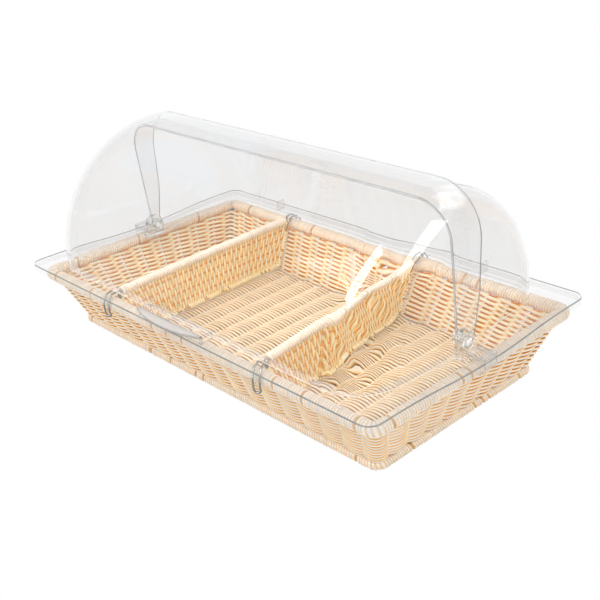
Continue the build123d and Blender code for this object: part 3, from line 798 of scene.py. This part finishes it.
def shell_object(name, half_x, radius, corner_r, way, edge, walls, body, dents):
    """Sheet with a smooth outer skin, a dented inner skin and a rounded edge all round."""
    t = SHEET_T
    outer = shell_skin(half_x, radius, corner_r, way, edge, walls)
    inner = shell_skin(half_x - t, radius - t, corner_r - t, way, edge, walls)
    inner = inner + moulding_dents(outer, half_x, corner_r, dents)
    nu, nv = outer.shape[:2]
    points = np.concatenate([outer.reshape(-1, 3), inner.reshape(-1, 3)])
    near = np.arange(nu * nv).reshape(nu, nv)
    far = near + nu * nv
    quads = [np.stack([near[:-1, :-1], near[:-1, 1:], near[1:, 1:], near[1:, :-1]], -1),
             np.stack([far[:-1, :-1], far[1:, :-1], far[1:, 1:], far[:-1, 1:]], -1)]
    quads = [q.reshape(-1, 4) for q in quads]
    loop = np.concatenate([near[:-1, 0], near[-1, :-1], near[:0:-1, -1], near[0, :0:-1]])
    step = np.concatenate([near[:-1, 1], near[-2, :-1], near[:0:-1, -2], near[1, :0:-1]])
    away = points[loop] - points[step]
    away = away / np.maximum(np.linalg.norm(away, axis=1, keepdims=True), 1e-9)
    out_p, in_p = points[loop], points[loop + nu * nv]
    bulge = [out_p * (1 - f) + in_p * f + away * EDGE_ROUND * math.sin(math.pi * f)
             for f in (0.15, 0.5, 0.85)]
    start, count = len(points), len(loop)
    points = np.concatenate([points] + bulge)
    chain = [loop] + [start + k * count + np.arange(count) for k in range(3)] + [loop + nu * nv]
    for a, b in zip(chain, chain[1:]):
        quads.append(np.stack([a, b, np.roll(b, -1), np.roll(a, -1)], -1))
    points[:, 1] += basket_y
    faces = np.concatenate(quads)
    choice = np.zeros(len(faces), int)
    # edge bands painted grey as painted shade: dark, pale, pale, dark across the edge, warm grey
    # along the foot
    bands = np.arange(len(faces) - count * 4, len(faces))
    low = points[faces[bands], 2].mean(1) < PIVOT_Z - 1.5 * MM
    choice[bands] = np.where(low, 3, np.repeat([1, 2, 2, 1], count))
    materials = (clear_sheet, clear_edge, pale_edge, foot_edge)
    item = mesh_object(name, points, faces.tolist(), materials, choice)
    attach(item, body)
    return item


def block(solid, low, high):
    """Adds a box with softened edges to a bmesh."""
    made = bmesh.ops.create_cube(solid, size=1.0)["verts"]
    for vert in made:
        vert.co = [low[k] + (high[k] - low[k]) * (vert.co[k] + 0.5) for k in range(3)]
    edges = list({edge for vert in made for edge in vert.link_edges})
    bmesh.ops.bevel(solid, geom=edges, offset=BEVEL, segments=2, affect="EDGES", profile=0.5)


def slab(solid, outline, low, high):
    """Adds a flat plate of the given outline to a bmesh."""
    base = [solid.verts.new((x, y, low)) for x, y in outline]
    face = solid.faces.new(base)
    grown = bmesh.ops.extrude_face_region(solid, geom=[face])["geom"]
    top = [v for v in grown if isinstance(v, bmesh.types.BMVert)]
    for vert in top:
        vert.co.z = high
    rims = [e for e in solid.edges if (e.verts[0] in base and e.verts[1] in base)
            or (e.verts[0] in top and e.verts[1] in top)]
    bmesh.ops.bevel(solid, geom=rims, offset=BEVEL, segments=2, affect="EDGES", profile=0.5)


def solid_object(name, solid, material, body, grey_sides=False):
    """Flat-sided object whose softened edges, and sides if asked, are painted grey: painted shade
    along clear edges.
    """
    bmesh.ops.recalc_face_normals(solid, faces=solid.faces[:])
    for face in solid.faces:
        face.smooth = False
        edge = min(line.calc_length() for line in face.edges) < BEVEL + 0.1 * MM
        face.material_index = int(edge or (grey_sides and abs(face.normal.z) < 0.5))
    mesh = bpy.data.meshes.new(name)
    solid.to_mesh(mesh)
    solid.free()
    mesh.materials.append(material)
    mesh.materials.append(grey_edge)
    item = bpy.data.objects.new(name, mesh)
    item.location = (0, basket_y, 0)
    bpy.context.scene.collection.objects.link(item)
    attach(item, body)
    return item


def build_pull():
    """Hollow finger pull on the front shell's foot, with a curved lip along its top."""
    solid = bmesh.new()
    half, wall, out, t = PULL_HALF, -(SHELL_R + 0.1 * MM), -FRAME_HALF[1], SHEET_T
    foot, top = FLANGE_Z + t + FOOT_GAP, PULL_TOP_Z
    gap = SEAM / 2
    block(solid, (-half, out, foot), (half, out + t, top - t - gap))
    for sign in (-1, 1):
        x = sorted((sign * half, sign * (half - t)))
        block(solid, (x[0], out + t + gap, foot), (x[1], wall, top - t - gap))
    block(solid, (-half, out + t + gap, top - t), (half, wall, top))
    walls = solid_object("pull_walls", solid, wall_pane, "front_shell")
    solid = bmesh.new()
    bend = (half ** 2 + PULL_LIP ** 2) / (2 * PULL_LIP)
    swing = math.asin(half / bend)
    arc = [(bend * math.sin(a), out - PULL_LIP + bend - bend * math.cos(a))
           for a in np.linspace(-swing, swing, 33)]
    slab(solid, [(half, out + t), (-half, out + t)] + arc, top - t, top)
    # the lip's sides painted grey: painted shade
    return walls, solid_object("pull_lip", solid, pull_pane, "front_shell", True)


def build_flange():
    """Flange round the window with its turned-down lip, as one profile swept round both loops."""
    window = (FRAME_HALF[0] - FLANGE_WIDTH[0], FRAME_HALF[1] - FLANGE_WIDTH[1], WINDOW_R)
    # Profile in mm: distance from the loop, and height over the flange's underside.
    inner = [(0.4, 0.0), (0.1, 0.1), (0.0, 0.4), (0.0, 2.1), (0.1, 2.4), (0.4, 2.5)]
    outer = [(1.9, 2.5), (1.2, 2.37), (0.6, 2.0), (0.15, 1.35), (0.0, 0.6), (0.0, -5.1),
             (0.1, -5.4), (0.4, -5.5), (2.1, -5.5), (2.4, -5.4), (2.5, -5.1), (2.5, -0.5),
             (2.65, -0.15), (3.0, 0.0)]
    side_steps, corner_steps = 26, 9
    counts = [side_steps, corner_steps] * 4 + [side_steps]
    share = np.concatenate([k + np.arange(n) / n for k, n in enumerate(counts)])

    def ring(half_x, half_y, radius, inset):
        loop = Loop(half_x + inset, half_y + inset, radius + inset)
        base = np.concatenate([loop.starts[:9], [loop.total]])
        return loop.at(np.interp(share, np.arange(10), base))[0]

    def at(plan, rise):
        return np.column_stack([plan, flange_level(plan[:, 1]) + rise * MM])

    low = [ring(*window, d * MM) for d, _ in inner]
    high = [ring(*FRAME_HALF, FRAME_R, -d * MM) for d, _ in outer]
    between = np.linspace(0, 1, 8)[1:-1]
    rows = [at(p, z) for p, (_, z) in zip(low, inner)]
    rows += [at(low[-1] + (high[0] - low[-1]) * f, 2.5) for f in between]
    rows += [at(p, z) for p, (_, z) in zip(high, outer)]
    rows += [at(high[-1] + (low[0] - high[-1]) * f, 0.0) for f in between]
    grid = np.stack(rows)
    nu, nv = grid.shape[:2]
    index = np.arange(nu * nv).reshape(nu, nv)
    following = np.roll(index, -1, 0)
    quads = np.stack([index, np.roll(index, -1, 1), np.roll(following, -1, 1), following], -1)
    choice = np.zeros(nu, int)
    shoulder = len(inner) + len(between) + 2    # the band over the frame's upper edge
    # the frame's upper edge painted dark grey: painted shade along the clear edge
    choice[shoulder:shoulder + 2] = 1
    item = mesh_object("frame_flange", grid.reshape(-1, 3) + [0, basket_y, 0],
                       quads.reshape(-1, 4).tolist(), (frame_pane, frame_edge),
                       np.repeat(choice, nv))
    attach(item, "cover")
    return item


def build_fittings():
    """Channels over the flange at the pivots, the lip's tabs under them, and the two stops."""
    solid = bmesh.new()
    t, wide = SHEET_T, CHANNEL_HALF_Y
    x0, x1, x2 = FRAME_HALF[0] - CHANNEL_LENGTH, FRAME_HALF[0], FRAME_HALF[0] + CHANNEL_PROUD
    deck = SIDE_FLANGE_Z + t
    top = deck + CHANNEL_RISE
    tab_half, tab_foot = SIDE_TAB
    for sign in (-1, 1):
        def add_block(a, b):
            xs = sorted((sign * a[0], sign * b[0]))
            block(solid, (xs[0], a[1], a[2]), (xs[1], b[1], b[2]))
        add_block((x0, -wide, top - t), (x2, wide, top))
        for side in (-1, 1):
            ys = sorted((side * wide, side * (wide - t)))
            add_block((x0, ys[0], deck + SEAM), (x1, ys[1], top - t - SEAM))
        add_block((x1 + SEAM, -wide, top - CHANNEL_DROP), (x2, wide, top - t - SEAM))
        add_block((x1 - t, -tab_half, tab_foot),
                  (x1, tab_half, SIDE_FLANGE_Z + t - FRAME_LIP - SEAM))
        add_block((STOP_X - STOP_HALF_T, STOP_Y, FLANGE_Z + t + SEAM),
                  (STOP_X + STOP_HALF_T, STOP_Y + STOP_DEPTH, STOP_TOP_Z))
    return solid_object("frame_fittings", solid, frame_pane, "cover")


def build_cover():
    """Both shells, whose end walls' inner outlines are worked out here, the pull and the frame."""
    trim = EDGE_ROUND

    def foot(y):
        return float(shell_foot(y)) + trim

    def foot_line(start, end):
        return [(y, foot(y)) for y in np.linspace(start, end, 26)]

    # Front shell: along its foot, round the lug, then clear of the flange when it is rolled back.
    back, flat, lug = SHELL_BACK - trim, SHELL_R - SHELL_CORNER, LUG_R - trim
    start = math.acos(min(1.0, (PIVOT_Z - foot(0)) / lug))
    walls = foot_line(-flat + 0.1 * MM, 0)
    walls += [(lug * math.sin(a), PIVOT_Z - lug * math.cos(a))
              for a in np.linspace(start, math.pi / 2, 12)]
    cos, sin = math.cos(math.radians(SHELL_ROLL)), math.sin(math.radians(SHELL_ROLL))
    for y in np.linspace(12 * MM, 60 * MM, 33):
        drop = PIVOT_Z - foot(y)
        if y * cos + drop * sin < back:
            walls.append((y * cos + drop * sin, PIVOT_Z + y * sin - drop * cos))
    walls += [(back, walls[-1][1] + 2 * MM), (back, PIVOT_Z + math.sqrt(flat ** 2 - back ** 2))]
    shell = shell_object("front_sheet", SHELL_HALF_X, SHELL_R, SHELL_CORNER, -1,
                         lambda r: math.asin(SHELL_BACK / r), walls, "front_shell", 1)
    for item in build_pull():
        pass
    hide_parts("front_shell")

    # Rear shell: along its foot, then straight up its leaning front edge.
    flat = REAR_R - REAR_CORNER
    ahead, tilt = -REAR_REACH + trim, math.radians(REAR_TILT)
    rise = flat * math.cos(tilt + math.asin(REAR_REACH / flat))
    walls = foot_line(flat - 0.1 * MM, ahead)
    walls += [(ahead, PIVOT_Z), (ahead - math.tan(tilt) * rise, PIVOT_Z + rise)]
    rear = shell_object("rear_sheet", REAR_HALF_X, REAR_R, REAR_CORNER, 1,
                        lambda r: tilt + math.asin(REAR_REACH * math.cos(tilt) / r),
                        walls, "cover", 0.3)
    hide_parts("rear_shell")
    flange = build_flange()
    fittings = build_fittings()
    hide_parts("cover_frame")


# ---------------------------------------------------------------- CAD pieces that stay
def dress(node, material):
    """Gives a CAD piece one material."""
    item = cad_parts[node]
    item.data.materials.clear()
    item.data.materials.append(material)


def dress_cad():
    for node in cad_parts:
        if node.endswith("stakes"):
            # painted shade: the stakes lie deep in the weave
            dress(node, stake_reed)
        elif node.endswith("hook"):
            dress(node, hook_metal)
        elif node.endswith(("rim_wire", "base_ring_wire", "corner_posts", "divider_frame")):
            dress(node, wire_metal)
        elif "pivot" in node:
            dress(node, clear_fitting)


# ---------------------------------------------------------------- stage, lamps, camera
def seen_directly(tree):
    """1 for rays from the camera, off mirrors and through clear sheet."""
    path = add(tree, "ShaderNodeLightPath")
    first = add(tree, "ShaderNodeMath")
    second = add(tree, "ShaderNodeMath")
    first.operation = second.operation = "MAXIMUM"
    tree.links.new(path.outputs["Is Camera Ray"], first.inputs[0])
    tree.links.new(path.outputs["Is Transmission Ray"], first.inputs[1])
    tree.links.new(first.outputs[0], second.inputs[0])
    tree.links.new(path.outputs["Is Glossy Ray"], second.inputs[1])
    return second.outputs[0]


def white_unless_lit(tree, output, shader):
    """Shows plain white where it is seen directly, and the real shader to all other rays."""
    white = add(tree, "ShaderNodeEmission", Color=(1, 1, 1, 1), Strength=1.0)
    mix = add(tree, "ShaderNodeMixShader")
    tree.links.new(seen_directly(tree), mix.inputs[0])
    tree.links.new(shader.outputs[0], mix.inputs[1])
    tree.links.new(white.outputs[0], mix.inputs[2])
    tree.links.new(mix.outputs[0], output.inputs["Surface"])


def build_stage():
    """Counter top under the base ring, white where it is seen."""
    bpy.ops.mesh.primitive_plane_add(size=12, location=(0, 0, -0.0005))
    floor = bpy.context.object
    floor.name = "floor"
    material, tree, output = node_material("floor_white")
    diffuse = add(tree, "ShaderNodeBsdfDiffuse", Color=(0.9, 0.9, 0.9, 1))
    white_unless_lit(tree, output, diffuse)
    floor.data.materials.append(material)


def build_world():
    """White backdrop that gives a plain, weaker light."""
    world = bpy.data.worlds.new("studio")
    world.use_nodes = True
    tree = world.node_tree
    tree.nodes.clear()
    output = tree.nodes.new("ShaderNodeOutputWorld")
    light = add(tree, "ShaderNodeBackground", Color=(1, 1, 1, 1), Strength=0.65)
    shown = add(tree, "ShaderNodeBackground", Color=(1, 1, 1, 1), Strength=1.0)
    mix = add(tree, "ShaderNodeMixShader")
    tree.links.new(seen_directly(tree), mix.inputs[0])
    tree.links.new(light.outputs[0], mix.inputs[1])
    tree.links.new(shown.outputs[0], mix.inputs[2])
    tree.links.new(mix.outputs[0], output.inputs["Surface"])
    bpy.context.scene.world = world


def area_lamp(name, place, target, width, height, power, up=(0, 0, 1)):
    """Rectangular lamp aimed at target, its height as near up as that allows."""
    lamp = bpy.data.lights.new(name, "AREA")
    lamp.shape, lamp.size, lamp.size_y, lamp.energy = "RECTANGLE", width, height, power
    item = bpy.data.objects.new(name, lamp)
    item.location = place
    back = (Vector(place) - Vector(target)).normalized()
    across = Vector(up).cross(back).normalized()
    item.rotation_euler = Matrix((across, back.cross(across), back)).transposed().to_euler()
    bpy.context.scene.collection.objects.link(item)
    return item


def build_lamps():
    """Three lamps that light but don't show in the cover, and two that only show in it."""
    basket = (0, 0, 0.05)
    for lamp in (area_lamp("key", (-0.9, -1.5, 1.9), basket, 1.4, 1.0, 15),
                 area_lamp("fill", (1.7, -0.7, 1.3), basket, 1.2, 1.2, 6.5),
                 area_lamp("back", (0.3, 1.6, 1.5), basket, 1.6, 0.8, 7)):
        lamp.visible_glossy = False
    for box in (area_lamp("front_box", (0.278, -1.298, 1.624), (0.215, -0.1, 0.18),
                          0.6, 1.6, 46, (0.296, 0.733, 0.612)),
                area_lamp("side_box", (1.802, 0.442, 1.174), (0.236, -0.06, 0.195),
                          0.72, 1.45, 20, (-0.498, 0.784, 0.372))):
        box.visible_diffuse = box.visible_transmission = False


def build_camera():
    data = bpy.data.cameras.new("camera")
    item = bpy.data.objects.new("camera", data)
    bpy.context.scene.collection.objects.link(item)
    azimuth, elevation = math.radians(CAMERA_AZIMUTH), math.radians(CAMERA_ELEVATION)
    away = Vector((math.sin(azimuth) * math.cos(elevation),
                   -math.cos(azimuth) * math.cos(elevation), math.sin(elevation)))
    item.location = Vector((0, basket_y, 0)) + away * CAMERA_DISTANCE
    turn = (-away).to_track_quat("-Z", "Y").to_matrix().to_4x4()
    roll = Matrix.Rotation(math.radians(CAMERA_ROLL), 4, "Z")
    item.rotation_euler = (turn @ roll).to_euler()
    data.sensor_width = 36.0
    data.lens = FOCAL_PX / PICTURE_PX * data.sensor_width
    data.shift_x = (PICTURE_PX / 2 - CENTRE_PX[0]) / PICTURE_PX
    data.shift_y = (CENTRE_PX[1] - PICTURE_PX / 2) / PICTURE_PX
    data.clip_start, data.clip_end = 0.05, 30
    bpy.context.scene.camera = item


build_bindings()
build_walls()
build_floor()
build_divider("left", 31)
build_divider("right", 37)
build_cover()
dress_cad()
build_stage()
build_world()
build_lamps()
build_camera()

scene = bpy.context.scene
scene.view_settings.view_transform = "Standard"
scene.cycles.max_bounces = 24
scene.cycles.transmission_bounces = 20
scene.cycles.transparent_max_bounces = 24
scene.cycles.glossy_bounces = 8
scene.cycles.diffuse_bounces = 5
